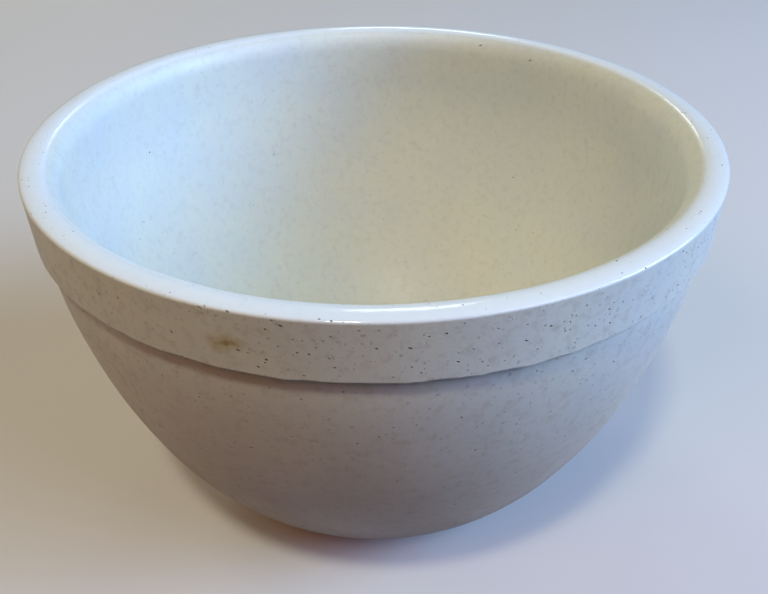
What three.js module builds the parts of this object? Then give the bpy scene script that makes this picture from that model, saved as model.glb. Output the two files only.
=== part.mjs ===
// Glazed stoneware mixing bowl with a raised collar below the rim, a single fired piece of clay.
// Millimetres, +Z up. The origin is the centre of the plane that the foot ring rests on.
import * as THREE from 'three';

// Driving dimensions
const rimDiameter = 178;
const height = 106;
const wallThickness = 6.6;
const collarDepth = 15.1; // rim to the collar's lower edge
const collarStep = 2.2; // how far the wall stands back under the collar
const footDiameter = 90;
const footHeight = 3;
const floorThickness = 6;
const floorRadius = 33; // flat middle of the floor inside

// Smaller forms
const rimCornerRadius = 1.3;
const rimCrown = 0.25; // rise of the rim's top over a flat one
const rimRollWidth = 4.6; // the soft inner side of the rim, across
const rimRollDepth = 6.4; // and down
const collarDraft = 0.3; // the collar narrows this much towards its lower edge
const collarEdgeRadius = 0.9;
const stepFilletRadius = 1;
const straightWall = 2.5; // upright stretch of wall under the collar
const shoulderPull = 28; // how long the wall stays near upright below that
const footPull = 21.2; // how far it runs out flat from the foot
const floorPull = 29; // how far the inside curve runs out flat from the floor
const footDraft = 1;
const footRingWidth = 5.4;
const footCornerRadius = 0.7;
const recessDepth = 2.4;
const recessFillet = 1.5;
const underCrown = 0.5; // the base arches up this much at its middle
const segmentsRound = 64;
const wallSteps = 12;

const rimRadius = rimDiameter / 2;
const wallRadius = rimRadius - collarStep;
const insideRadius = wallRadius - wallThickness;
const footRadius = footDiameter / 2;
const collarLow = height - collarDepth;
const wallTop = collarLow - straightWall;
const floorLevel = recessDepth + underCrown + floorThickness;

// A profile point is a radius and a height above the resting plane.
function point(radius, level) {
  return new THREE.Vector2(radius, level);
}

// Part of an ellipse about a centre, between two angles in degrees.
function arc(centre, across, up, fromAngle, toAngle, steps) {
  const start = THREE.MathUtils.degToRad(fromAngle);
  const end = THREE.MathUtils.degToRad(toAngle);
  const curve = new THREE.EllipseCurve(centre.x, centre.y, across, up, start, end, end < start);
  return curve.getPoints(steps);
}

// Part of a circle about a centre.
function round(centre, radius, fromAngle, toAngle, steps) {
  return arc(centre, radius, radius, fromAngle, toAngle, steps);
}

// A smooth curve that leaves one point towards its pull and comes into the other from its own.
function sweep(from, pullFrom, pullTo, to, steps) {
  return new THREE.CubicBezierCurve(from, pullFrom, pullTo, to).getPoints(steps);
}

// Underside: the shallow recess inside the foot ring, with a soft step down to the ring.
function recessProfile() {
  const ringInside = footRadius - footRingWidth;
  const recessEdge = ringInside - recessFillet;
  return [
    ...sweep(
      point(0, recessDepth + underCrown),
      point(recessEdge / 2, recessDepth + underCrown),
      point(recessEdge * 0.8, recessDepth),
      point(recessEdge, recessDepth),
      2,
    ),
    ...round(point(recessEdge, recessDepth - recessFillet), recessFillet, 90, 0, 2),
  ];
}

// Foot ring: a flat resting face with eased corners and a slightly flared outer side.
function footProfile() {
  const ringInside = footRadius - footRingWidth;
  return [
    ...round(point(ringInside + footCornerRadius, footCornerRadius), footCornerRadius, 180, 270, 2),
    ...round(point(footRadius - footCornerRadius, footCornerRadius), footCornerRadius, 270, 345, 2),
    point(footRadius + footDraft, footHeight),
  ];
}

// Outside wall: one full curve from the foot to the upright stretch under the collar.
function outsideProfile() {
  const foot = point(footRadius + footDraft, footHeight);
  return sweep(
    foot,
    point(foot.x + footPull, footHeight + 0.2),
    point(wallRadius, wallTop - shoulderPull),
    point(wallRadius, wallTop),
    wallSteps,
  );
}

// Collar: an undercut step with a fillet in its corner and a rounded lower edge.
function collarProfile() {
  const edgeRadius = rimRadius - collarDraft - collarEdgeRadius;
  return [
    ...round(point(wallRadius + stepFilletRadius, collarLow - stepFilletRadius), stepFilletRadius, 180, 90, 3),
    ...round(point(edgeRadius, collarLow + collarEdgeRadius), collarEdgeRadius, 270, 360, 3),
  ];
}

// Rim: a crisp outer corner, a nearly flat crowned top and a soft roll down to the inside.
function rimProfile() {
  const cornerCentre = point(rimRadius - rimCornerRadius, height - rimCrown - rimCornerRadius);
  const rollTop = point(insideRadius + rimRollWidth, height - rimCrown);
  return [
    ...round(cornerCentre, rimCornerRadius, 0, 80, 3),
    ...sweep(
      point(cornerCentre.x, height - rimCrown / 3),
      point(cornerCentre.x - 0.8, height),
      point(rollTop.x + 0.8, height),
      point(rollTop.x, height - rimCrown),
      3,
    ),
    ...arc(point(rollTop.x, height - rimCrown - rimRollDepth), rimRollWidth, rimRollDepth, 105, 180, 5),
  ];
}

// Inside: follows the outside at the wall's thickness and flattens into the floor.
function insideProfile() {
  return [
    ...sweep(
      point(insideRadius, wallTop),
      point(insideRadius, wallTop - shoulderPull),
      point(floorRadius + floorPull, floorLevel),
      point(floorRadius, floorLevel),
      wallSteps,
    ),
    point(0, floorLevel),
  ];
}

// The whole section, from the middle of the underside round to the middle of the floor.
function bowlProfile() {
  const outline = [
    ...recessProfile(),
    ...footProfile(),
    ...outsideProfile(),
    ...collarProfile(),
    ...rimProfile(),
    ...insideProfile(),
  ];
  return outline.filter((spot, index) => index === 0 || spot.distanceTo(outline[index - 1]) > 0.01);
}

function makeBowl() {
  const geometry = new THREE.LatheGeometry(bowlProfile(), segmentsRound);
  geometry.rotateX(Math.PI / 2);
  const glaze = new THREE.MeshStandardMaterial({ color: 0xcfccc0, roughness: 0.32, metalness: 0 });
  const mesh = new THREE.Mesh(geometry, glaze);
  mesh.name = 'bowl';
  return mesh;
}

const group = new THREE.Group();
group.add(makeBowl());

export default group;
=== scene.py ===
import math

import bpy
from mathutils import Euler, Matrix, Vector


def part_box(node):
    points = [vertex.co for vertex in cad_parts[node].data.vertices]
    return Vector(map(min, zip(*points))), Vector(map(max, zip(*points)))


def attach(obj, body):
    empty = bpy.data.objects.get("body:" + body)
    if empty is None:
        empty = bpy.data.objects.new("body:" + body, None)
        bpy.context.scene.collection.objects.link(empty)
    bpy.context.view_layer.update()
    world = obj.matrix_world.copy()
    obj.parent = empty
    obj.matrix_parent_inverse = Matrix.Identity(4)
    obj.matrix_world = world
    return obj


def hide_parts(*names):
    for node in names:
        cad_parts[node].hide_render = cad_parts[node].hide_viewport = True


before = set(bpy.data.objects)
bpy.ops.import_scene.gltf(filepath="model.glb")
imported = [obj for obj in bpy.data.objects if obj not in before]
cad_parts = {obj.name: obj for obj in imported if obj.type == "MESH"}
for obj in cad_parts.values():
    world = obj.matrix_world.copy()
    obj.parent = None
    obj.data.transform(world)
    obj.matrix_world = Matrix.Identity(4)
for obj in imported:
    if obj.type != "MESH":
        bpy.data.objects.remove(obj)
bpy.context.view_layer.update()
print("frame loaded:", sorted(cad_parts))

mm = 0.001
bowlLow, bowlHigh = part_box("bowl")
rimRadius = (bowlHigh.x - bowlLow.x) / 2
rimHeight = bowlHigh.z
rimMiddle = Vector((0, 0, rimHeight))


def addNode(tree, kind, inputs=None, **settings):
    # adds a node, sets its properties, and links or fills its inputs. A node given as a value means its first
    # output in use, and an input is named by its number or by the name of the first one in use. On Map Range,
    # 1 and 2 are the range it takes, 3 and 4 the range it gives, and what isn't said is from 0 or to 1
    node = tree.nodes.new(kind)
    for name, value in settings.items():
        setattr(node, name, value)
    for key, value in (inputs or {}).items():
        if isinstance(key, int):
            socket = node.inputs[key]
        else:
            socket = next(s for s in node.inputs if s.enabled and s.name == key)
        if isinstance(value, bpy.types.Node):
            value = next(s for s in value.outputs if s.enabled)
        if isinstance(value, bpy.types.NodeSocket):
            tree.links.new(value, socket)
        else:
            socket.default_value = value
    return node


def srgb(hexColour, alpha=1.0):
    # an sRGB hex colour as linear numbers
    parts = [int(hexColour[i:i + 2], 16) / 255 for i in (1, 3, 5)]
    return [p / 12.92 if p <= 0.04045 else ((p + 0.055) / 1.055) ** 2.4 for p in parts] + [alpha]


# camera

cameraView = {
    "lens": 37.5,       # on a 36 mm sensor
    "down": 34.83,      # degrees below level
    "roll": -0.21,
    "right": 0.026,     # from the middle of the rim, in rim radii
    "back": 2.258,
    "up": 0.933,
    "clipStart": 0.01,
}


def makeCamera():
    data = bpy.data.cameras.new("camera")
    data.lens = cameraView["lens"]
    data.clip_start = cameraView["clipStart"]
    camera = bpy.data.objects.new("camera", data)
    offset = Vector((cameraView["right"], -cameraView["back"], cameraView["up"])) * rimRadius
    camera.location = rimMiddle + offset
    tilt = Euler((math.radians(90 - cameraView["down"]), 0, 0)).to_matrix()
    roll = Euler((0, 0, math.radians(cameraView["roll"]))).to_matrix()
    camera.rotation_euler = (tilt @ roll).to_euler()
    bpy.context.scene.collection.objects.link(camera)
    bpy.context.scene.camera = camera


makeCamera()
print("camera placed")


# bowl: the turned section, in millimetres where a size isn't an angle or a count

bowlForm = {
    "wallThickness": 6.6,
    "collarDepth": 15.1,
    "collarStep": 2.2,
    "collarDraft": 0.3,
    "collarEdgeRadius": 0.7,
    "stepFilletRadius": 1.0,
    "straightWall": 2.5,
    "shoulderPull": 28,
    "rimCornerRadius": 0.7,
    "rimCornerTurn": 72,        # degrees
    "rimCrown": 0.25,
    "crownOuterPull": (-0.95, 0.31),
    "crownInnerPull": (1.5, 0.56),
    "rimRollWidth": 4.6,
    "rimRollDepth": 6.4,
    "rimRollStart": 105,        # degrees
    "footRadius": 45,
    "footHeight": 3,
    "footDraft": 1,
    "footPull": (21.2, 0.2),
    "footCornerEnd": 345,       # degrees
    "footRingWidth": 5.4,
    "footCornerRadius": 0.7,
    "recessDepth": 2.4,
    "recessFillet": 1.5,
    "recessCurve": (0.5, 0.8),  # where the recess bends, as shares of its radius
    "underCrown": 0.5,
    "floorThickness": 6,
    "floorRadius": 33,
    "floorPull": 29,
    # distance between points along the section
    "wallSpacing": 2.0,
    "insideSpacing": 2,
    "floorSpacing": 3,
    "footSpacing": 0.8,
    "bandSpacing": 0.8,
    "crownSpacing": 0.4,
    "shortSpacing": 1,
    "leastSpacing": 0.05,
    "holdingRow": 0.12,     # a row this close to a tight corner keeps the face beside it looking flat
}


def arcPoints(centre, across, up, start, end, steps):
    turns = [math.radians(start + (end - start) * i / steps) for i in range(steps + 1)]
    return [(centre[0] + across * math.cos(t), centre[1] + up * math.sin(t)) for t in turns]


def sweepPoints(a, b, c, d, spacing):
    # a smooth curve from a to d, pulled towards b and c
    def at(t):
        s = 1 - t
        weights = (s ** 3, 3 * s * s * t, 3 * s * t * t, t ** 3)
        return tuple(sum(w * p[k] for w, p in zip(weights, (a, b, c, d))) for k in (0, 1))
    samples = 20
    rough = [at(i / samples) for i in range(samples + 1)]
    length = sum(math.dist(p, q) for p, q in zip(rough, rough[1:]))
    steps = max(2, round(length / spacing))
    return [at(i / steps) for i in range(steps + 1)]


def linePoints(a, b, spacing):
    steps = max(1, round(math.dist(a, b) / spacing))
    return [(a[0] + (b[0] - a[0]) * i / steps, a[1] + (b[1] - a[1]) * i / steps) for i in range(steps + 1)]


def moved(point, step):
    return point[0] + step[0], point[1] + step[1]


def bowlSection():
    # radius and height, from the middle of the underside round foot and rim to the middle of the floor
    f = bowlForm
    top = rimHeight / mm
    rim = rimRadius / mm
    wall = rim - f["collarStep"]
    inside = wall - f["wallThickness"]
    collarLow = top - f["collarDepth"]
    wallTop = collarLow - f["straightWall"]
    floorLevel = f["recessDepth"] + f["underCrown"] + f["floorThickness"]

    recess = f["recessDepth"]
    recessFillet = f["recessFillet"]
    underTop = recess + f["underCrown"]
    ringInside = f["footRadius"] - f["footRingWidth"]
    recessEdge = ringInside - recessFillet
    corner = f["footCornerRadius"]
    near, far = (recessEdge * share for share in f["recessCurve"])
    points = sweepPoints((0, underTop), (near, underTop), (far, recess), (recessEdge, recess),
                         f["floorSpacing"])
    points += arcPoints((recessEdge, recess - recessFillet), recessFillet, recessFillet, 90, 0, 5)
    points += arcPoints((ringInside + corner, corner), corner, corner, 180, 270, 4)
    points += linePoints((ringInside + corner, 0), (f["footRadius"] - corner, 0), f["shortSpacing"])
    points += arcPoints((f["footRadius"] - corner, corner), corner, corner, 270, f["footCornerEnd"], 4)

    footTop = (f["footRadius"] + f["footDraft"], f["footHeight"])
    points += linePoints(points[-1], footTop, f["footSpacing"])
    points += sweepPoints(footTop, moved(footTop, f["footPull"]), (wall, wallTop - f["shoulderPull"]),
                          (wall, wallTop), f["wallSpacing"])

    fillet = f["stepFilletRadius"]
    edge = f["collarEdgeRadius"]
    edgeMiddle = rim - f["collarDraft"] - edge
    points += linePoints((wall, wallTop), (wall, collarLow - fillet), f["shortSpacing"])
    points += arcPoints((wall + fillet, collarLow - fillet), fillet, fillet, 180, 90, 5)
    points += arcPoints((edgeMiddle, collarLow + edge), edge, edge, 270, 360, 6)

    cornerRadius = f["rimCornerRadius"]
    cornerMiddle = (rim - cornerRadius, top - f["rimCrown"] - cornerRadius)
    rollTop = (inside + f["rimRollWidth"], top - f["rimCrown"])
    hold = f["holdingRow"]
    low = (rim - f["collarDraft"], collarLow + edge + hold)
    high = (rim, cornerMiddle[1] - hold)
    points += [low] + linePoints(low, high, f["bandSpacing"]) + [(rim, cornerMiddle[1])]
    points += arcPoints(cornerMiddle, cornerRadius, cornerRadius, 0, f["rimCornerTurn"], 6)
    outer = points[-1]
    rollMiddle = (rollTop[0], rollTop[1] - f["rimRollDepth"])
    roll = arcPoints(rollMiddle, f["rimRollWidth"], f["rimRollDepth"], f["rimRollStart"], 180, 10)
    inner = roll[0]
    points += sweepPoints(outer, moved(outer, f["crownOuterPull"]), moved(inner, f["crownInnerPull"]), inner,
                          f["crownSpacing"])
    points += roll

    points += linePoints((inside, rollMiddle[1]), (inside, wallTop), f["wallSpacing"])
    points += sweepPoints((inside, wallTop), (inside, wallTop - f["shoulderPull"]),
                          (f["floorRadius"] + f["floorPull"], floorLevel), (f["floorRadius"], floorLevel),
                          f["insideSpacing"])
    points += linePoints((f["floorRadius"], floorLevel), (0, floorLevel), f["floorSpacing"])
    return [p for i, p in enumerate(points) if i == 0 or math.dist(p, points[i - 1]) > f["leastSpacing"]]


# the glaze's faults: pinholes strewn over each zone, and the larger pits and nicks at their places
glazeFaults = {
    "zones": [
        # heights above the table and the largest half length in mm; side is 1 outside, -1 inside and 0 both
        {"name": "collar", "from": 91.6, "to": 104.4, "side": 1, "perCm2": 8.5, "largest": 0.3, "seed": 11},
        {"name": "wall", "from": 52, "to": 89.5, "side": 1, "perCm2": 1.7, "largest": 0.3, "seed": 23},
        {"name": "low wall", "from": 8, "to": 52, "side": 1, "perCm2": 0.6, "largest": 0.28, "seed": 31},
        {"name": "rim", "from": 105.3, "to": 107, "side": 0, "perCm2": 3.0, "largest": 0.3, "seed": 47},
        {"name": "inside", "from": 12, "to": 99, "side": -1, "perCm2": 0.25, "largest": 0.26, "seed": 53},
    ],
    "smallest": 0.12,       # half length in mm
    "gap": 0.7,             # least distance between two pinholes in mm
    "slant": 30,            # degrees down to the right, the way the turning tool dragged
    "slantSpread": 28,
    "patchSize": 15,        # in mm; in some patches there are more pinholes than in others
    "crowding": 1.9,        # how many times the usual number there are in the fullest patch
    "towardsSmall": 3.2,    # most pinholes are small; the higher this power, the fewer large ones there are
    "leastShape": (1.0, 0.5, 0.5),      # length, width and depth, as shares of the half length
    "greatestShape": (1.3, 1.0, 0.7),
    "raggedSize": 0.3,      # in mm
    "raggedDepth": 0.15,
    "sharpEdge": 38,        # an edge with a greater angle than this, in degrees, isn't shaded smooth
    "markDrop": 0.35,       # how far a mark runs down for each unit along
    # angle round in degrees, radius and height, half length, half width and half depth in mm
    "marks": [
        # on the collar, from left to right
        (-110.4, 89, 105.0, 0.6, 0.26, 0.25),
        (-106.8, 89, 105.4, 0.45, 0.2, 0.2),
        (-106.1, 89, 96.7, 0.5, 0.24, 0.28),
        (-104.9, 89, 96.4, 0.3, 0.18, 0.24),
        (-103.8, 89, 93.4, 0.4, 0.2, 0.28),
        (-103.1, 89, 96.9, 0.2, 0.15, 0.16),
        (-102.8, 89, 94.7, 0.22, 0.16, 0.18),
        (-102.3, 89, 102.7, 0.28, 0.18, 0.22),
        (-101.4, 89, 104.9, 0.36, 0.18, 0.2),
        (-100.4, 89, 103.9, 0.55, 0.24, 0.28),
        (-99.1, 89, 101.0, 0.3, 0.2, 0.25),
        (-98.7, 89, 98.0, 0.26, 0.18, 0.24),
        (-98.1, 89, 92.6, 0.26, 0.17, 0.22),
        (-98.0, 89, 100.9, 0.22, 0.16, 0.18),
        (-96.4, 89, 99.6, 0.36, 0.18, 0.2),
        (-95.9, 88.4, 105.6, 0.3, 0.16, 0.2),
        (-94.9, 89, 97.1, 0.28, 0.18, 0.26),
        (-94.5, 88.6, 105.5, 0.34, 0.17, 0.2),
        (-91.3, 89, 103.8, 0.2, 0.15, 0.16),
        (-89.4, 89, 99.7, 0.32, 0.26, 0.26),
        (-85.5, 89, 99.6, 0.52, 0.25, 0.3),
        (-84.0, 89, 102.4, 0.22, 0.16, 0.2),
        (-83.3, 89, 102.0, 0.32, 0.18, 0.26),
        (-81.3, 89, 102.4, 0.3, 0.2, 0.24),
        (-79.7, 89, 95.4, 0.38, 0.2, 0.28),
        (-75.9, 89, 93.4, 0.24, 0.17, 0.2),
        (-71.2, 89, 97.7, 0.32, 0.22, 0.22),
        (-68.0, 89, 99.8, 0.34, 0.26, 0.28),
        (-65.8, 89, 97.6, 0.3, 0.2, 0.24),
        (-64.5, 89, 100.6, 0.24, 0.17, 0.22),
        (-58.5, 89, 95.5, 0.28, 0.2, 0.22),
        # nicks in the collar's lower edge
        (-84.6, 88.5, 90.9, 0.9, 0.42, 0.45),
        (-78.3, 88.5, 90.9, 1.1, 0.38, 0.4),
        (-73.6, 88.5, 90.9, 0.8, 0.42, 0.45),
        (-68.5, 88.5, 90.9, 0.9, 0.36, 0.4),
        # inside, on the far roll of the rim and on the wall
        (63.9, 81.2, 103.2, 0.6, 0.26, 0.25),
        (50.5, 80.7, 101.5, 0.66, 0.26, 0.25),
        (154.5, 80.2, 81.6, 0.4, 0.26, 0.2),
        (119.2, 80.2, 64.8, 0.4, 0.26, 0.2),
    ],
}


def pitMarkMesh():
    # one point for each larger pit, with its half sizes as an attribute
    mesh = bpy.data.meshes.new("pitMarks")
    spots = []
    for angle, radius, height, *_ in glazeFaults["marks"]:
        turn = math.radians(angle)
        spots.append((radius * mm * math.cos(turn), radius * mm * math.sin(turn), height * mm))
    mesh.from_pydata(spots, [], [])
    sizes = mesh.attributes.new("pitSize", "FLOAT_VECTOR", "POINT")
    for item, mark in zip(sizes.data, glazeFaults["marks"]):
        item.vector = Vector(mark[3:]) * mm
    pitMarks = bpy.data.objects.new("pitMarks", mesh)
    bpy.context.scene.collection.objects.link(pitMarks)
    return pitMarks


pinholeInputs = {
    "From": 0.09,               # lowest and highest point of the zone
    "To": 0.105,
    "Side": 1.0,
    "Per square metre": 10000.0,
    "Smallest": glazeFaults["smallest"] * mm,
    "Largest": 0.0004,
    "Gap": glazeFaults["gap"] * mm,
    "Slant": math.radians(glazeFaults["slant"]),
    "Slant spread": math.radians(glazeFaults["slantSpread"]),
    "Seed": 1,
}


def makePinholeTree():
    # flattened balls on one zone of the surface, turned along the tool's drag
    tree = bpy.data.node_groups.new("pinholes", "GeometryNodeTree")
    tree.interface.new_socket("Surface", in_out="INPUT", socket_type="NodeSocketGeometry")
    tree.interface.new_socket("Ball", in_out="INPUT", socket_type="NodeSocketGeometry")
    tree.interface.new_socket("Balls", in_out="OUTPUT", socket_type="NodeSocketGeometry")
    for name, value in pinholeInputs.items():
        kind = "NodeSocketInt" if isinstance(value, int) else "NodeSocketFloat"
        tree.interface.new_socket(name, in_out="INPUT", socket_type=kind).default_value = value
    given = addNode(tree, "NodeGroupInput").outputs
    place = addNode(tree, "GeometryNodeInputPosition")
    height = addNode(tree, "ShaderNodeSeparateXYZ", {0: place}).outputs["Z"]
    flat = addNode(tree, "ShaderNodeVectorMath", {0: place, 1: (1, 1, 0)}, operation="MULTIPLY")
    normal = addNode(tree, "GeometryNodeInputNormal").outputs[0]

    facing = addNode(tree, "ShaderNodeVectorMath", {0: normal, 1: flat}, operation="DOT_PRODUCT")
    facing = addNode(tree, "ShaderNodeMath", {0: facing, 1: given["Side"]}, operation="MULTIPLY")
    justUnder = -1e-6       # so that side 0 takes every face
    rightSide = addNode(tree, "ShaderNodeMath", {0: facing, 1: justUnder}, operation="GREATER_THAN")
    above = addNode(tree, "ShaderNodeMath", {0: height, 1: given["From"]}, operation="GREATER_THAN")
    below = addNode(tree, "ShaderNodeMath", {0: height, 1: given["To"]}, operation="LESS_THAN")
    within = addNode(tree, "ShaderNodeMath", {0: above, 1: below}, operation="MULTIPLY")
    within = addNode(tree, "ShaderNodeMath", {0: within, 1: rightSide}, operation="MULTIPLY")

    # thicker in some patches than in others
    faults = glazeFaults
    patches = addNode(tree, "ShaderNodeTexNoise",
                      {"Vector": place, "Scale": 1 / (faults["patchSize"] * mm), "Detail": 1.0})
    patches = addNode(tree, "ShaderNodeMapRange", {0: patches, 1: 0.3, 2: 0.7, 3: 0.1, 4: 1.0})
    most = addNode(tree, "ShaderNodeMath", {0: given["Per square metre"], 1: faults["crowding"]},
                   operation="MULTIPLY")
    points = addNode(tree, "GeometryNodeDistributePointsOnFaces", {
        "Mesh": given["Surface"],
        "Selection": within,
        "Distance Min": given["Gap"],
        "Density Max": most,
        "Density Factor": patches,
        "Seed": given["Seed"],
    }, distribute_method="POISSON")

    # most are small and a few are large
    sizeSeed = addNode(tree, "ShaderNodeMath", {0: given["Seed"], 1: 101}, operation="ADD")
    grown = addNode(tree, "FunctionNodeRandomValue", {"Seed": sizeSeed}, data_type="FLOAT")
    grown = addNode(tree, "ShaderNodeMath", {0: grown, 1: faults["towardsSmall"]}, operation="POWER")
    half = addNode(tree, "ShaderNodeMapRange", {0: grown, 3: given["Smallest"], 4: given["Largest"]})
    shapeSeed = addNode(tree, "ShaderNodeMath", {0: given["Seed"], 1: 202}, operation="ADD")
    shape = addNode(tree, "FunctionNodeRandomValue",
                    {"Min": faults["leastShape"], "Max": faults["greatestShape"], "Seed": shapeSeed},
                    data_type="FLOAT_VECTOR")
    size = addNode(tree, "ShaderNodeVectorMath", {0: shape, "Scale": half}, operation="SCALE")

    slantSeed = addNode(tree, "ShaderNodeMath", {0: given["Seed"], 1: 303}, operation="ADD")
    least = addNode(tree, "ShaderNodeMath", {0: given["Slant"], 1: given["Slant spread"]},
                    operation="SUBTRACT")
    greatest = addNode(tree, "ShaderNodeMath", {0: given["Slant"], 1: given["Slant spread"]}, operation="ADD")
    slant = addNode(tree, "FunctionNodeRandomValue", {"Min": least, "Max": greatest, "Seed": slantSeed},
                    data_type="FLOAT")
    onward = addNode(tree, "ShaderNodeVectorMath", {0: (0, 0, 1), 1: flat}, operation="CROSS_PRODUCT")
    onward = addNode(tree, "ShaderNodeVectorMath", {0: onward}, operation="NORMALIZE")
    cosine = addNode(tree, "ShaderNodeMath", {0: slant}, operation="COSINE")
    sine = addNode(tree, "ShaderNodeMath", {0: slant}, operation="SINE")
    across = addNode(tree, "ShaderNodeVectorMath", {0: onward, "Scale": cosine}, operation="SCALE")
    drop = addNode(tree, "ShaderNodeCombineXYZ", {"Z": sine})
    along = addNode(tree, "ShaderNodeVectorMath", {0: across, 1: drop}, operation="SUBTRACT")
    aim = addNode(tree, "FunctionNodeAxesToRotation", {0: points.outputs["Normal"], 1: along},
                  primary_axis="Z", secondary_axis="X")
    balls = addNode(tree, "GeometryNodeInstanceOnPoints",
                    {"Points": points, "Instance": given["Ball"], "Rotation": aim, "Scale": size})
    addNode(tree, "NodeGroupOutput", {0: balls})
    return tree


# sizes in millimetres of the waves and lumps that take the bowl away from a perfect turned shape
unevenness = {
    "lumpSize": 16,
    "trueBelow": 3,         # no lumps up to here, and all of them from the next height up
    "lumpsFrom": 9,
    "longWave": 7,          # along the collar's lower edge
    "shortWave": 3.5,
    "waveFull": 0.4,        # the wave is full this near the edge, and gone at the next distance
    "waveGone": 3,
    "collarFace": (1.5, 2.1),   # how far in from the rim's radius the collar ends
    "rimSwells": 11,        # in a metre
    "mergeDistance": 0.01,
}

bowlInputs = {
    "Segments round": 240,
    "Rim radius": rimRadius,
    "Rim height": rimHeight,
    "Collar depth": bowlForm["collarDepth"] * mm,
    "Surface wander": 0.00022,      # how far the thick glaze strays from the true form
    "Rim wander": 0.0004,           # how far the rim strays from a level ring
    "Collar edge wave": 0.0007,     # how far the collar's lower edge strays up and down
}


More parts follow.
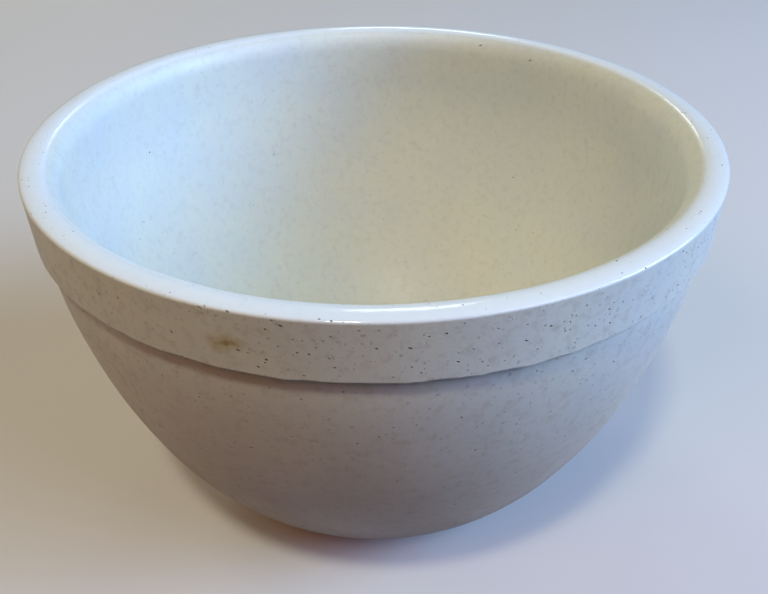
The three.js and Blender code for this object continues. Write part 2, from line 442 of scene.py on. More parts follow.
def makeBowlTree(glaze, bareClay, pitMarks):
    tree = bpy.data.node_groups.new("turnedBowl", "GeometryNodeTree")
    tree.interface.new_socket("Geometry", in_out="INPUT", socket_type="NodeSocketGeometry")
    tree.interface.new_socket("Geometry", in_out="OUTPUT", socket_type="NodeSocketGeometry")
    for name, value in bowlInputs.items():
        kind = "NodeSocketInt" if isinstance(value, int) else "NodeSocketFloat"
        tree.interface.new_socket(name, in_out="INPUT", socket_type=kind).default_value = value
    given = addNode(tree, "NodeGroupInput").outputs
    uneven = unevenness
    faults = glazeFaults

    # turn the section: a grid, one side of it round the axis and the other along the section
    count = addNode(tree, "GeometryNodeAttributeDomainSize", {0: given["Geometry"]}, component="MESH")
    columns = addNode(tree, "ShaderNodeMath", {0: given["Segments round"], 1: 1}, operation="ADD")
    grid = addNode(tree, "GeometryNodeMeshGrid",
                   {"Size X": 1.0, "Size Y": 1.0, "Vertices X": columns, "Vertices Y": count})
    place = addNode(tree, "GeometryNodeInputPosition")
    flat = addNode(tree, "ShaderNodeSeparateXYZ", {0: place})
    turn = addNode(tree, "ShaderNodeMath", {0: flat.outputs["X"], 1: 2 * math.pi, 2: 1.5 * math.pi},
                   operation="MULTIPLY_ADD")
    last = addNode(tree, "ShaderNodeMath", {0: count, 1: 1}, operation="SUBTRACT")
    share = addNode(tree, "ShaderNodeMath", {0: flat.outputs["Y"], 1: 0.5}, operation="ADD")
    row = addNode(tree, "ShaderNodeMath", {0: share, 1: last}, operation="MULTIPLY")
    row = addNode(tree, "ShaderNodeMath", {0: row}, operation="ROUND")
    onSection = addNode(tree, "GeometryNodeSampleIndex",
                        {"Geometry": given["Geometry"], "Value": place, "Index": row},
                        data_type="FLOAT_VECTOR", domain="POINT")
    section = addNode(tree, "ShaderNodeSeparateXYZ", {0: onSection}).outputs
    cosine = addNode(tree, "ShaderNodeMath", {0: turn}, operation="COSINE")
    sine = addNode(tree, "ShaderNodeMath", {0: turn}, operation="SINE")
    turned = addNode(tree, "ShaderNodeCombineXYZ", {
        "X": addNode(tree, "ShaderNodeMath", {0: section["X"], 1: cosine}, operation="MULTIPLY"),
        "Y": addNode(tree, "ShaderNodeMath", {0: section["X"], 1: sine}, operation="MULTIPLY"),
        "Z": section["Z"],
    })
    bowl = addNode(tree, "GeometryNodeSetPosition", {"Geometry": grid, "Position": turned})
    bowl = addNode(tree, "GeometryNodeMergeByDistance",
                   {"Geometry": bowl, "Distance": uneven["mergeDistance"] * mm})

    spot = addNode(tree, "ShaderNodeSeparateXYZ", {0: place}).outputs
    share = addNode(tree, "ShaderNodeMath", {0: spot["Z"], 1: given["Rim height"]}, operation="DIVIDE")

    # the glaze's own lumps, away from the resting face
    outward = addNode(tree, "GeometryNodeInputNormal").outputs[0]
    lumps = addNode(tree, "ShaderNodeTexNoise",
                    {"Vector": place, "Scale": 1 / (uneven["lumpSize"] * mm), "Detail": 1.5})
    lumps = addNode(tree, "ShaderNodeMath", {0: lumps, 1: 0.5}, operation="SUBTRACT")
    offFoot = addNode(tree, "ShaderNodeMapRange", {
        0: spot["Z"], 1: uneven["trueBelow"] * mm, 2: uneven["lumpsFrom"] * mm,
})
    lumps = addNode(tree, "ShaderNodeMath", {0: lumps, 1: offFoot}, operation="MULTIPLY")
    lumps = addNode(tree, "ShaderNodeMath", {0: lumps, 1: given["Surface wander"]}, operation="MULTIPLY")
    offset = addNode(tree, "ShaderNodeVectorMath", {0: outward, "Scale": lumps}, operation="SCALE")
    bowl = addNode(tree, "GeometryNodeSetPosition", {"Geometry": bowl, "Offset": offset})

    # the collar's lower edge wavers
    collarLow = addNode(tree, "ShaderNodeMath", {0: given["Rim height"], 1: given["Collar depth"]},
                        operation="SUBTRACT")
    away = addNode(tree, "ShaderNodeMath", {0: spot["Z"], 1: collarLow}, operation="SUBTRACT")
    away = addNode(tree, "ShaderNodeMath", {0: away}, operation="ABSOLUTE")
    nearEdge = addNode(tree, "ShaderNodeMapRange",
                       {0: away, 1: uneven["waveFull"] * mm, 2: uneven["waveGone"] * mm, 3: 1.0, 4: 0.0})
    radius = addNode(tree, "ShaderNodeVectorMath", {0: place, 1: (1, 1, 0)}, operation="MULTIPLY")
    radius = addNode(tree, "ShaderNodeVectorMath", {0: radius}, operation="LENGTH")
    inward = addNode(tree, "ShaderNodeMath", {0: given["Rim radius"], 1: radius}, operation="SUBTRACT")
    faceEnd, stepStart = uneven["collarFace"]
    onCollar = addNode(tree, "ShaderNodeMapRange",
                       {0: inward, 1: faceEnd * mm, 2: stepStart * mm, 3: 1.0, 4: 0.0})
    longWave = addNode(tree, "ShaderNodeTexNoise",
                       {"Vector": place, "Scale": 1 / (uneven["longWave"] * mm), "Detail": 0.0})
    shortWave = addNode(tree, "ShaderNodeTexNoise",
                        {"Vector": place, "Scale": 1 / (uneven["shortWave"] * mm), "Detail": 0.0})
    wave = addNode(tree, "ShaderNodeMath", {0: longWave, 1: shortWave}, operation="ADD")
    wave = addNode(tree, "ShaderNodeMath", {0: wave, 1: 1.0}, operation="SUBTRACT")
    wave = addNode(tree, "ShaderNodeMath", {0: wave, 1: nearEdge}, operation="MULTIPLY")
    wave = addNode(tree, "ShaderNodeMath", {0: wave, 1: onCollar}, operation="MULTIPLY")
    wave = addNode(tree, "ShaderNodeMath", {0: wave, 1: given["Collar edge wave"]}, operation="MULTIPLY")

    # and the rim isn't quite level
    swells = uneven["rimSwells"]
    under = addNode(tree, "ShaderNodeVectorMath", {0: place, 1: (swells, swells, 0)}, operation="MULTIPLY")
    swell = addNode(tree, "ShaderNodeTexNoise", {"Vector": under, "Scale": 1.0, "Detail": 0.0})
    swell = addNode(tree, "ShaderNodeMath", {0: swell, 1: 0.5}, operation="SUBTRACT")
    swell = addNode(tree, "ShaderNodeMath", {0: swell, 1: share}, operation="MULTIPLY")
    swell = addNode(tree, "ShaderNodeMath", {0: swell, 1: given["Rim wander"]}, operation="MULTIPLY")
    lift = addNode(tree, "ShaderNodeCombineXYZ",
                   {"Z": addNode(tree, "ShaderNodeMath", {0: wave, 1: swell}, operation="ADD")})
    bowl = addNode(tree, "GeometryNodeSetPosition", {"Geometry": bowl, "Offset": lift})

    # pinholes, zone by zone, and the larger pits; all are balls that get cut out of the glaze
    ball = addNode(tree, "GeometryNodeMeshUVSphere", {"Segments": 8, "Rings": 5, "Radius": 1.0})
    joined = addNode(tree, "GeometryNodeJoinGeometry")
    pinholeTree = makePinholeTree()
    for zone in glazeFaults["zones"]:
        balls = addNode(tree, "GeometryNodeGroup", node_tree=pinholeTree, label=zone["name"])
        tree.links.new(bowl.outputs[0], balls.inputs["Surface"])
        tree.links.new(ball.outputs[0], balls.inputs["Ball"])
        balls.inputs["From"].default_value = zone["from"] * mm
        balls.inputs["To"].default_value = zone["to"] * mm
        balls.inputs["Side"].default_value = zone["side"]
        balls.inputs["Per square metre"].default_value = zone["perCm2"] * 1e4
        balls.inputs["Largest"].default_value = zone["largest"] * mm
        balls.inputs["Seed"].default_value = zone["seed"]
        tree.links.new(balls.outputs[0], joined.inputs[0])

    marks = addNode(tree, "GeometryNodeObjectInfo", {"Object": pitMarks})
    touching = addNode(tree, "GeometryNodeProximity", {"Geometry": bowl}, target_element="FACES")
    marks = addNode(tree, "GeometryNodeSetPosition",
                    {"Geometry": marks.outputs["Geometry"], "Position": touching.outputs["Position"]})
    markSize = addNode(tree, "GeometryNodeInputNamedAttribute", {"Name": "pitSize"}, data_type="FLOAT_VECTOR")
    there = addNode(tree, "GeometryNodeSampleNearestSurface", {"Mesh": bowl, "Value": outward},
                    data_type="FLOAT_VECTOR")
    onward = addNode(tree, "ShaderNodeVectorMath", {0: (0, 0, 1), 1: place}, operation="CROSS_PRODUCT")
    onward = addNode(tree, "ShaderNodeVectorMath", {0: onward}, operation="NORMALIZE")
    along = addNode(tree, "ShaderNodeVectorMath", {0: onward, 1: (0, 0, faults["markDrop"])},
                    operation="SUBTRACT")
    aim = addNode(tree, "FunctionNodeAxesToRotation", {0: there, 1: along},
                  primary_axis="Z", secondary_axis="X")
    balls = addNode(tree, "GeometryNodeInstanceOnPoints",
                    {"Points": marks, "Instance": ball, "Rotation": aim, "Scale": markSize})
    tree.links.new(balls.outputs[0], joined.inputs[0])

    # ragged rather than round, then cut
    cutters = addNode(tree, "GeometryNodeRealizeInstances", {0: joined})
    rough = addNode(tree, "ShaderNodeTexNoise",
                    {"Vector": place, "Scale": 1 / (faults["raggedSize"] * mm), "Detail": 0.0})
    rough = addNode(tree, "ShaderNodeVectorMath", {0: rough.outputs["Color"], 1: (0.5, 0.5, 0.5)},
                    operation="SUBTRACT")
    rough = addNode(tree, "ShaderNodeVectorMath", {0: rough, "Scale": faults["raggedDepth"] * mm},
                    operation="SCALE")
    cutters = addNode(tree, "GeometryNodeSetPosition", {"Geometry": cutters, "Offset": rough})
    cutters = addNode(tree, "GeometryNodeStoreNamedAttribute",
                      {"Geometry": cutters, "Name": "inPinhole", "Value": 1.0},
                      data_type="FLOAT", domain="FACE")
    cut = addNode(tree, "GeometryNodeMeshBoolean", operation="DIFFERENCE", solver="MANIFOLD")
    tree.links.new(bowl.outputs[0], cut.inputs["Mesh 1"])
    tree.links.new(cutters.outputs[0], cut.inputs["Mesh 2"])

    # smooth all over but for the pinholes' edges, and bare clay inside them
    smoothed = addNode(tree, "GeometryNodeSetShadeSmooth", {"Geometry": cut})
    angle = addNode(tree, "GeometryNodeInputMeshEdgeAngle")
    sharp = addNode(tree, "ShaderNodeMath", {0: angle, 1: math.radians(faults["sharpEdge"])},
                    operation="GREATER_THAN")
    smoothed = addNode(tree, "GeometryNodeSetShadeSmooth",
                       {"Geometry": smoothed, "Selection": sharp, "Shade Smooth": False}, domain="EDGE")
    whole = addNode(tree, "GeometryNodeRealizeInstances", {0: smoothed})
    coated = addNode(tree, "GeometryNodeSetMaterial", {"Geometry": whole, "Material": glaze})
    pinhole = addNode(tree, "GeometryNodeInputNamedAttribute", {"Name": "inPinhole"}, data_type="FLOAT")
    pinhole = addNode(tree, "ShaderNodeMath", {0: pinhole, 1: 0.5}, operation="GREATER_THAN")
    coated = addNode(tree, "GeometryNodeSetMaterial",
                     {"Geometry": coated, "Selection": pinhole, "Material": bareClay})
    addNode(tree, "NodeGroupOutput", {0: coated})
    return tree


def makeBowl(glaze, bareClay):
    mesh = bpy.data.meshes.new("bowlSection")
    section = bowlSection()
    edges = [(i, i + 1) for i in range(len(section) - 1)]
    mesh.from_pydata([(r * mm, 0, z * mm) for r, z in section], edges, [])
    source = bpy.data.objects.new("bowlSection", mesh)
    bpy.context.scene.collection.objects.link(source)
    pitMarks = pitMarkMesh()
    tree = makeBowlTree(glaze, bareClay, pitMarks)
    modifier = source.modifiers.new("turned", "NODES")
    modifier.node_group = tree
    for item in tree.interface.items_tree:
        if item.in_out == "INPUT" and item.name in bowlInputs:
            modifier[item.identifier] = bowlInputs[item.name]
    evaluated = source.evaluated_get(bpy.context.evaluated_depsgraph_get())
    made = bpy.data.meshes.new_from_object(evaluated)
    source.modifiers.remove(modifier)
    bpy.data.objects.remove(source)
    bpy.data.objects.remove(pitMarks)
    bowl = bpy.data.objects.new("stonewareBowl", made)
    made.name = "stonewareBowl"
    bpy.context.scene.collection.objects.link(bowl)
    return bowl


# glazed stoneware: fired clay under a thick, milky feldspar glaze. It gives the eye a creamy grey ground,
# clouded and faintly mottled, with iron specks burnt through from the clay, drag streaks from the turning
# tool, and a soft satin shine that turns wet-looking where the glaze pools on the rim.

glazeLook = {
    "cream": "#D3D0BB",
    "grey": "#CBCBBF",
    "milkAndTopLight": "#E0E1DC",          # where the glaze lies thick on the rim, whitened further as painted light on its upward face
    "shade": "#B4AB9A",         # where it runs thin; also painted shade in the drag grooves
    "iron": "#665B50",
    "deep": "#8F877D",          # specks seen through the glaze
    "rust": "#957038",
    "rustHalo": "#AE9E68",
    "paintedBounce": "#BF9878",          # painted warm bounce light from below, down the outside
    "paintedFootShade": "#806654",      # painted shade, dark and warm, close to the foot
    "footClay": "#B09877",
    # sizes in millimetres
    "cloudSize": 26,
    "mottleSize": 2.4,
    "speckSpacing": 2.7,
    "deepSpacing": 1.4,
    "deepRagged": 1.1,
    "deepRaggedSize": 0.7,
    "streakWidth": 1.1,
    "streakLength": 1.5,
    "streakPatch": 11,
    "orangePeel": 1.4,
    "rimRipple": 3.2,
    # how much of each there is, where 1 is all of it
    "thinMost": 0.68,
    "thinInside": 0.45,
    "paintedBounceMost": (0.12, 0.85),       # of the painted warm bounce, at the collar and at the foot
    "paintedFootShadeMost": 0.5,
    # how dark the painted shade in the drag grooves is
    "paintedGrooveShade": 0.26,
    "speckMost": 0.75,
    "speckInside": 0.6,
    "deepMost": (0.25, 0.85),       # in the faintest dot and in the strongest
    "deepInside": 0.24,
    "milkAndTopLightMost": 0.65,
    "rustMost": 0.9,
    "rustHaloMost": 0.85,
    # the range over which each comes in: the mask for the outside, then noises
    "outsideRange": (-0.01, 0.02),
    "cloudRange": (0.3, 0.7),
    "thinRange": (0.5, 0.76),
    "streakRange": (0.56, 0.74),
    "patchRange": (0.42, 0.6),
    "satinRange": (0.35, 0.65),
    # share of the cells with no dot, and how far the least and the greatest dot reach, as shares of a cell
    "speckReach": (0.45, 0.0, 0.13),
    "deepReach": (0.15, -0.08, 0.28),
    "speckEdge": (-0.02, 0.06),     # where a dot begins to show and where it is full, in the same shares
    "deepEdge": (-0.1, 0.14),
    "leastSpeck": 0.004,
    # heights in millimetres
    "paintedBounceHeights": (92, 20),
    "paintedFootShadeHeights": (65, 15),
    "milkBelowRim": (1.0, 0.5),
    "bareBelow": 0.8,               # the foot ring is wiped clean of glaze up to here
    "wipeWaver": 0.7,
    "wipeSize": 6,
    "wipeSoftness": 0.06,
    # relief in millimetres
    "peelDepth": 0.023,
    "rippleDepth": 0.05,
    "streakDepth": 0.01,
    "speckDepth": 0.02,
    # the streaks run down to the right; this many radians of turn for each metre of height sets their slant
    "streakTurn": 19.5,
    # roughness
    "satin": (0.29, 0.4),
    "dullInside": 0.14,             # more than that on the inside, which has been scoured
    "dullThin": 0.18,
    "dullSpeck": 0.6,
    "gloss": 0.13,
    "clay": 0.85,
    # the one rust spot: angle round in degrees, radius and height in mm, sizes in mm
    "rustSpot": (-107.7, 89, 97.6),
    "rustLean": -18,                # degrees
    "rustStretch": (1.6, 1.0, 1.0),
    "rustCore": (0.1, 0.96),        # where it begins to fade and where it ends
    "rustReach": (0.4, 3.0),
    "rustWaver": 3.4,
    "rustWaverSize": 2.2,
}


def makeGlaze():
    look = glazeLook
    material = bpy.data.materials.new("glazedStoneware")
    material.use_nodes = True
    tree = material.node_tree
    tree.nodes.clear()
    where = addNode(tree, "ShaderNodeTexCoord").outputs
    place = where["Object"]
    height = addNode(tree, "ShaderNodeSeparateXYZ", {0: place}).outputs["Z"]
    # outside is what faces away from the axis or down, so that the floor of the bowl counts as inside
    downward = (0, 0, -0.03)
    away = addNode(tree, "ShaderNodeVectorMath", {0: place, 1: (1, 1, 0), 2: downward},
                   operation="MULTIPLY_ADD")
    facing = addNode(tree, "ShaderNodeVectorMath", {0: away, 1: where["Normal"]}, operation="DOT_PRODUCT")
    least, most = look["outsideRange"]
    outside = addNode(tree, "ShaderNodeMapRange", {0: facing, 1: least, 2: most})

    # clouds of cream and grey, and a finer mottle where the glaze runs thin
    clouds = addNode(tree, "ShaderNodeTexNoise", {
        "Vector": place, "Scale": 1 / (look["cloudSize"] * mm), "Detail": 3.0, "Roughness": 0.55,
    })
    least, most = look["cloudRange"]
    toGrey = addNode(tree, "ShaderNodeMapRange", {0: clouds, 1: least, 2: most})
    mottle = addNode(tree, "ShaderNodeTexNoise", {
        "Vector": place, "Scale": 1 / (look["mottleSize"] * mm), "Detail": 3.0, "Roughness": 0.6,
    })
    least, most = look["thinRange"]
    thin = addNode(tree, "ShaderNodeMapRange", {0: mottle, 1: least, 2: most, 3: 0.0, 4: look["thinMost"]})
    thinOutside = addNode(tree, "ShaderNodeMapRange", {0: outside, 3: look["thinInside"]})
    thin = addNode(tree, "ShaderNodeMath", {0: thin, 1: thinOutside}, operation="MULTIPLY")

    # painted warm bounce light from below, growing down the outside
    high, low = look["paintedBounceHeights"]
    least, most = look["paintedBounceMost"]
    lower = addNode(tree, "ShaderNodeMapRange", {0: height, 1: high * mm, 2: low * mm, 3: least, 4: most})
    lower = addNode(tree, "ShaderNodeMath", {0: lower, 1: outside}, operation="MULTIPLY")

    # and painted shade, darker and browner still, close to the foot
    high, low = look["paintedFootShadeHeights"]
    nearFoot = addNode(tree, "ShaderNodeMapRange",
                       {0: height, 1: high * mm, 2: low * mm, 3: 0.0, 4: look["paintedFootShadeMost"]})
    nearFoot = addNode(tree, "ShaderNodeMath", {0: nearFoot, 1: outside}, operation="MULTIPLY")

    # drag streaks: noise stretched along a slant, by turning the coordinates round the axis with height
    twist = addNode(tree, "ShaderNodeMath", {0: height, 1: look["streakTurn"]}, operation="MULTIPLY")
    twisted = addNode(tree, "ShaderNodeVectorRotate", {"Vector": place, "Angle": twist},
                      rotation_type="Z_AXIS")
    narrow = 1 / (look["streakWidth"] * mm)
    drawn = addNode(tree, "ShaderNodeMapping",
                    {"Vector": twisted, "Scale": (narrow, narrow, 1 / (look["streakLength"] * mm))})
    streaks = addNode(tree, "ShaderNodeTexNoise", {"Vector": drawn, "Scale": 1.0, "Detail": 1.0})
    least, most = look["streakRange"]
    streaks = addNode(tree, "ShaderNodeMapRange", {0: streaks, 1: least, 2: most})
    patches = addNode(tree, "ShaderNodeTexNoise",
                      {"Vector": place, "Scale": 1 / (look["streakPatch"] * mm), "Detail": 1.0})
    least, most = look["patchRange"]
    patches = addNode(tree, "ShaderNodeMapRange", {0: patches, 1: least, 2: most})
    patches = addNode(tree, "ShaderNodeMath", {0: patches, 1: outside}, operation="MULTIPLY")
    streaks = addNode(tree, "ShaderNodeMath", {0: streaks, 1: patches}, operation="MULTIPLY")
    # the grooves darkened by painted shade
    grooveShade = addNode(tree, "ShaderNodeMath", {0: streaks, 1: look["paintedGrooveShade"]}, operation="MULTIPLY")

    # iron specks: a dot in about half of the cells, each of its own size
    cells = addNode(tree, "ShaderNodeTexVoronoi", {"Vector": place, "Scale": 1 / (look["speckSpacing"] * mm)})
    lot = addNode(tree, "ShaderNodeSeparateColor", {0: cells.outputs["Color"]}).outputs
    without, least, most = look["speckReach"]
    reach = addNode(tree, "ShaderNodeMapRange", {0: lot[0], 1: without, 3: least, 4: most})
    reachOutside = addNode(tree, "ShaderNodeMapRange", {0: outside, 3: look["speckInside"]})
    reach = addNode(tree, "ShaderNodeMath", {0: reach, 1: reachOutside}, operation="MULTIPLY")
    inside = addNode(tree, "ShaderNodeMath", {0: reach, 1: cells.outputs["Distance"]}, operation="SUBTRACT")
    least, most = look["speckEdge"]
    specks = addNode(tree, "ShaderNodeMapRange", {0: inside, 1: least, 2: most, 4: look["speckMost"]})
    burnt = addNode(tree, "ShaderNodeMath", {0: reach, 1: look["leastSpeck"]}, operation="GREATER_THAN")
    specks = addNode(tree, "ShaderNodeMath", {0: specks, 1: burnt}, operation="MULTIPLY")

    # softer, fainter dots that lie under the glaze
    ragged = addNode(tree, "ShaderNodeTexNoise",
                     {"Vector": place, "Scale": 1 / (look["deepRaggedSize"] * mm), "Detail": 1.0})
    ragged = addNode(tree, "ShaderNodeVectorMath", {0: ragged.outputs["Color"], 1: (0.5, 0.5, 0.5)},
                     operation="SUBTRACT")
    ragged = addNode(tree, "ShaderNodeVectorMath", {0: ragged, "Scale": look["deepRagged"] * mm},
                     operation="SCALE")
    ragged = addNode(tree, "ShaderNodeVectorMath", {0: ragged, 1: place}, operation="ADD")
    deep = addNode(tree, "ShaderNodeTexVoronoi", {"Vector": ragged, "Scale": 1 / (look["deepSpacing"] * mm)})
    lot = addNode(tree, "ShaderNodeSeparateColor", {0: deep.outputs["Color"]}).outputs
    without, least, most = look["deepReach"]
    reach = addNode(tree, "ShaderNodeMapRange", {0: lot[0], 1: without, 3: least, 4: most})
    inside = addNode(tree, "ShaderNodeMath", {0: reach, 1: deep.outputs["Distance"]}, operation="SUBTRACT")
    least, most = look["deepEdge"]
    dots = addNode(tree, "ShaderNodeMapRange", {0: inside, 1: least, 2: most})
    fainterInside = addNode(tree, "ShaderNodeMapRange", {0: outside, 3: look["deepInside"]})
    dots = addNode(tree, "ShaderNodeMath", {0: dots, 1: fainterInside}, operation="MULTIPLY")
    least, most = look["deepMost"]
    strength = addNode(tree, "ShaderNodeMapRange", {0: lot[1], 3: least, 4: most})
    dots = addNode(tree, "ShaderNodeMath", {0: dots, 1: strength}, operation="MULTIPLY")

    # thick and milky over the top of the rim, and whiter there partly as painted light on its upward face
    low, high = look["milkBelowRim"]
    onRim = addNode(tree, "ShaderNodeMapRange",
                    {0: height, 1: rimHeight - low * mm, 2: rimHeight - high * mm})
    milkAndTopLightShare = addNode(tree, "ShaderNodeMath", {0: onRim, 1: look["milkAndTopLightMost"]}, operation="MULTIPLY")

    # the rust spot: a brown heart in a yellow-green halo, wandering at its edge
    angle, radius, up = look["rustSpot"]
    turn = math.radians(angle)
    heart = (radius * mm * math.cos(turn), radius * mm * math.sin(turn), up * mm)
    spread = addNode(tree, "ShaderNodeMapping", {
        "Vector": place,
        "Location": heart,
        "Rotation": (0, math.radians(look["rustLean"]), math.radians(angle + 90)),
        "Scale": look["rustStretch"],
    }, vector_type="TEXTURE")
    ragged = addNode(tree, "ShaderNodeTexNoise",
                     {"Vector": place, "Scale": 1 / (look["rustWaverSize"] * mm), "Detail": 3.0})
    away = addNode(tree, "ShaderNodeVectorMath", {0: spread}, operation="LENGTH")
    away = addNode(tree, "ShaderNodeMath", {0: ragged, 1: look["rustWaver"] * mm, 2: away},
                   operation="MULTIPLY_ADD")
    away = addNode(tree, "ShaderNodeMath", {0: away, 1: look["rustWaver"] / 2 * mm}, operation="SUBTRACT")
    near, far = look["rustReach"]
    halo = addNode(tree, "ShaderNodeMapRange",
                   {0: away, 1: near * mm, 2: far * mm, 3: look["rustHaloMost"], 4: 0.0})
    near, far = look["rustCore"]
    core = addNode(tree, "ShaderNodeMapRange",
                   {0: away, 1: near * mm, 2: far * mm, 3: look["rustMost"], 4: 0.0})

    # the resting face is bare buff clay, with an uneven line where the glaze was wiped away
    wiped = addNode(tree, "ShaderNodeTexNoise",
                    {"Vector": place, "Scale": 1 / (look["wipeSize"] * mm), "Detail": 2.0})
    wiped = addNode(tree, "ShaderNodeMath", {0: wiped, 1: look["wipeWaver"] * mm, 2: height},
                    operation="MULTIPLY_ADD")
    edge = (look["bareBelow"] + look["wipeWaver"] / 2) * mm
    soft = look["wipeSoftness"] * mm
    bare = addNode(tree, "ShaderNodeMapRange", {0: wiped, 1: edge - soft, 2: edge + soft, 3: 1.0, 4: 0.0})

    # the colours, each laid over the one before; the warm layer down the outside, the dark layer near the
    # foot and the darker grooves are painted light and shade, and the rim's milk is partly painted light
    layers = (
        (toGrey, "grey"), (thin, "shade"), (lower, "paintedBounce"), (nearFoot, "paintedFootShade"),
        (grooveShade, "shade"), (specks, "iron"), (dots, "deep"), (milkAndTopLightShare, "milkAndTopLight"),
        (halo, "rustHalo"), (core, "rust"), (bare, "footClay"),
    )
    colour = srgb(look["cream"])
    for share, name in layers:
        colour = addNode(tree, "ShaderNodeMix", {"Factor": share, "A": colour, "B": srgb(look[name])},
                         data_type="RGBA")

    # satin, patchy, duller inside, glossy on the rim, dry on the bare clay and in the specks
    least, most = look["satin"]
    low, high = look["satinRange"]
    shine = addNode(tree, "ShaderNodeMapRange", {0: clouds, 1: low, 2: high, 3: least, 4: most})
    duller = addNode(tree, "ShaderNodeMapRange", {0: outside, 3: look["dullInside"], 4: 0.0})
    shine = addNode(tree, "ShaderNodeMath", {0: shine, 1: duller}, operation="ADD")
    shine = addNode(tree, "ShaderNodeMath", {0: thin, 1: look["dullThin"], 2: shine},
                    operation="MULTIPLY_ADD")
    for share, roughness in ((onRim, look["gloss"]), (specks, look["dullSpeck"]), (bare, look["clay"])):
        shine = addNode(tree, "ShaderNodeMix", {"Factor": share, "A": shine, "B": roughness},
                        data_type="FLOAT")

    # relief in millimetres: orange peel, the streaks' shallow grooves, sunken specks, and ripples on the rim
    peel = addNode(tree, "ShaderNodeTexNoise",
                   {"Vector": place, "Scale": 1 / (look["orangePeel"] * mm), "Detail": 2.0})
    relief = addNode(tree, "ShaderNodeMath", {0: peel, 1: look["peelDepth"]}, operation="MULTIPLY")
    relief = addNode(tree, "ShaderNodeMath", {0: streaks, 1: -look["streakDepth"], 2: relief},
                     operation="MULTIPLY_ADD")
    relief = addNode(tree, "ShaderNodeMath", {0: specks, 1: -look["speckDepth"], 2: relief},
                     operation="MULTIPLY_ADD")
    ripple = addNode(tree, "ShaderNodeTexNoise",
                     {"Vector": place, "Scale": 1 / (look["rimRipple"] * mm), "Detail": 1.0})
    ripple = addNode(tree, "ShaderNodeMath", {0: ripple, 1: onRim}, operation="MULTIPLY")
    relief = addNode(tree, "ShaderNodeMath", {0: ripple, 1: look["rippleDepth"], 2: relief},
                     operation="MULTIPLY_ADD")
    bump = addNode(tree, "ShaderNodeBump", {"Height": relief, "Distance": mm, "Strength": 1.0})
    shader = addNode(tree, "ShaderNodeBsdfPrincipled",
                     {"Base Color": colour, "Roughness": shine, "Normal": bump, "IOR": 1.5})
    addNode(tree, "ShaderNodeOutputMaterial", {"Surface": shader})
    return material


# bare stoneware body inside the pinholes: coarse fired clay, stained by iron and dirt. It gives the eye small
# grey-brown dots that never shine.

clayLook = {
    "clay": "#9C958B",
    "stained": "#645D57",
    "stainRange": (0.42, 0.66),     # the part of a noise's range over which the stain comes in
    "roughness": 0.9,
    # in millimetres
    "stainSize": 5,
    "grainSize": 0.4,
    "grainDepth": 0.05,
}


def makeBareClay():
    look = clayLook
    material = bpy.data.materials.new("firedClay")
    material.use_nodes = True
    tree = material.node_tree
    tree.nodes.clear()
    place = addNode(tree, "ShaderNodeTexCoord").outputs["Object"]
    stain = addNode(tree, "ShaderNodeTexNoise",
                    {"Vector": place, "Scale": 1 / (look["stainSize"] * mm), "Detail": 1.0})
    least, most = look["stainRange"]
    stain = addNode(tree, "ShaderNodeMapRange", {0: stain, 1: least, 2: most})
    colour = addNode(tree, "ShaderNodeMix",
                     {"Factor": stain, "A": srgb(look["clay"]), "B": srgb(look["stained"])}, data_type="RGBA")
    grains = addNode(tree, "ShaderNodeTexNoise",
                     {"Vector": place, "Scale": 1 / (look["grainSize"] * mm), "Detail": 2.0})
    bump = addNode(tree, "ShaderNodeBump",
                   {"Height": grains, "Distance": look["grainDepth"] * mm, "Strength": 1.0})
    shader = addNode(tree, "ShaderNodeBsdfPrincipled",
                     {"Base Color": colour, "Roughness": look["roughness"], "Normal": bump})
    addNode(tree, "ShaderNodeOutputMaterial", {"Surface": shader})
    return material


glaze = makeGlaze()
bareClay = makeBareClay()
print("glaze mixed")
bowl = makeBowl(glaze, bareClay)
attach(bowl, "root")
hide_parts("bowl")
print("bowl made:", len(bowl.data.polygons), "faces")


# floor and light

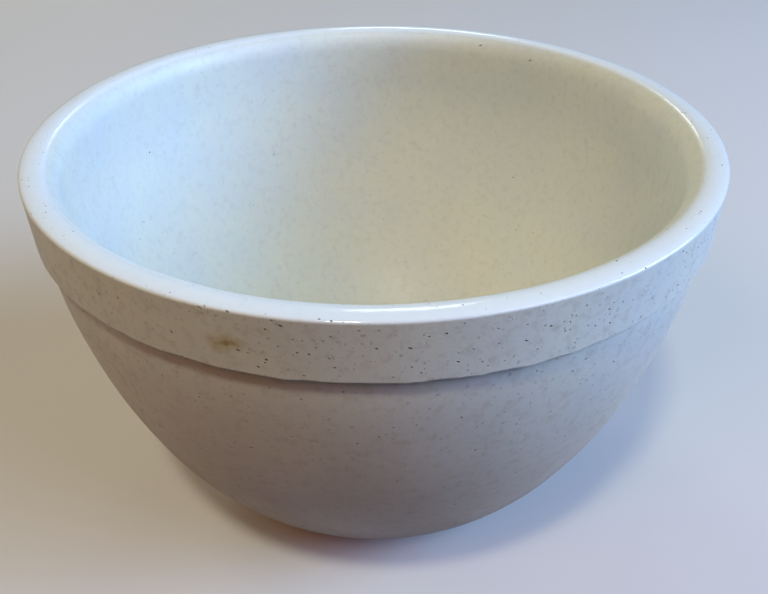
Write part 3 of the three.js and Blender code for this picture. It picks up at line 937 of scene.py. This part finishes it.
studio = {
    "floorHalf": 3,
    "floorColour": "#C9BFB3",
    "floorRoughness": 0.7,
    "distance": 1.6,        # of each lamp from the bowl
    "aimHeight": 0.08,
    "world": "#D9DADC",
    "worldStrength": 0.01,
    # name, degrees round from +X, degrees up, side in metres, watts, colour, whether it shows in the gloss
    "lamps": [
        ("windowFront", -30, 42, 0.75, 10, "#BFD8FF", True),
        ("windowLow", -15, 20, 0.75, 14.5, "#9CB6FF", False),
        ("windowRight", 0, 24, 0.75, 32, "#98C4FF", True),
        ("backLeft", 120, 14, 0.5, 8, "#F8FFFA", False),
        ("left", 180, 42, 0.75, 4.4, "#DCFFF4", False),
        ("frontLeft", 225, 42, 0.75, 5.8, "#FFAC70", False),
        ("lampAbove", -105, 65, 0.16, 9.2, "#FBFFF0", True),
        ("windowBack", 88, 31, 0.25, 1.0, "#F4FFF0", True),
    ],
}


def makeFloor():
    half = studio["floorHalf"]
    mesh = bpy.data.meshes.new("floor")
    corners = [(-half, -half, 0), (half, -half, 0), (half, half, 0), (-half, half, 0)]
    mesh.from_pydata(corners, [], [(0, 1, 2, 3)])
    floor = bpy.data.objects.new("floor", mesh)
    bpy.context.scene.collection.objects.link(floor)
    material = bpy.data.materials.new("paleFloor")
    material.use_nodes = True
    shader = material.node_tree.nodes["Principled BSDF"]
    shader.inputs["Base Color"].default_value = srgb(studio["floorColour"])
    shader.inputs["Roughness"].default_value = studio["floorRoughness"]
    floor.data.materials.append(material)
    floor.visible_diffuse = False       # a pale floor would light the bowl from below more than a table does


def makeLights():
    aim = Vector((0, 0, studio["aimHeight"]))
    for name, turn, rise, side, power, colour, shows in studio["lamps"]:
        data = bpy.data.lights.new(name, "AREA")
        data.size = side
        data.energy = power
        data.color = srgb(colour)[:3]
        light = bpy.data.objects.new(name, data)
        light.visible_glossy = shows
        turn, rise = math.radians(turn), math.radians(rise)
        away = Vector((math.cos(turn) * math.cos(rise), math.sin(turn) * math.cos(rise), math.sin(rise)))
        light.location = aim + away * studio["distance"]
        light.rotation_euler = away.to_track_quat("Z", "Y").to_euler()
        bpy.context.scene.collection.objects.link(light)
    world = bpy.data.worlds.new("studio")
    world.use_nodes = True
    background = world.node_tree.nodes["Background"]
    background.inputs["Color"].default_value = srgb(studio["world"])
    background.inputs["Strength"].default_value = studio["worldStrength"]
    bpy.context.scene.world = world


makeFloor()
makeLights()
bpy.context.scene.view_settings.view_transform = "Standard"
print("floor and lights made")
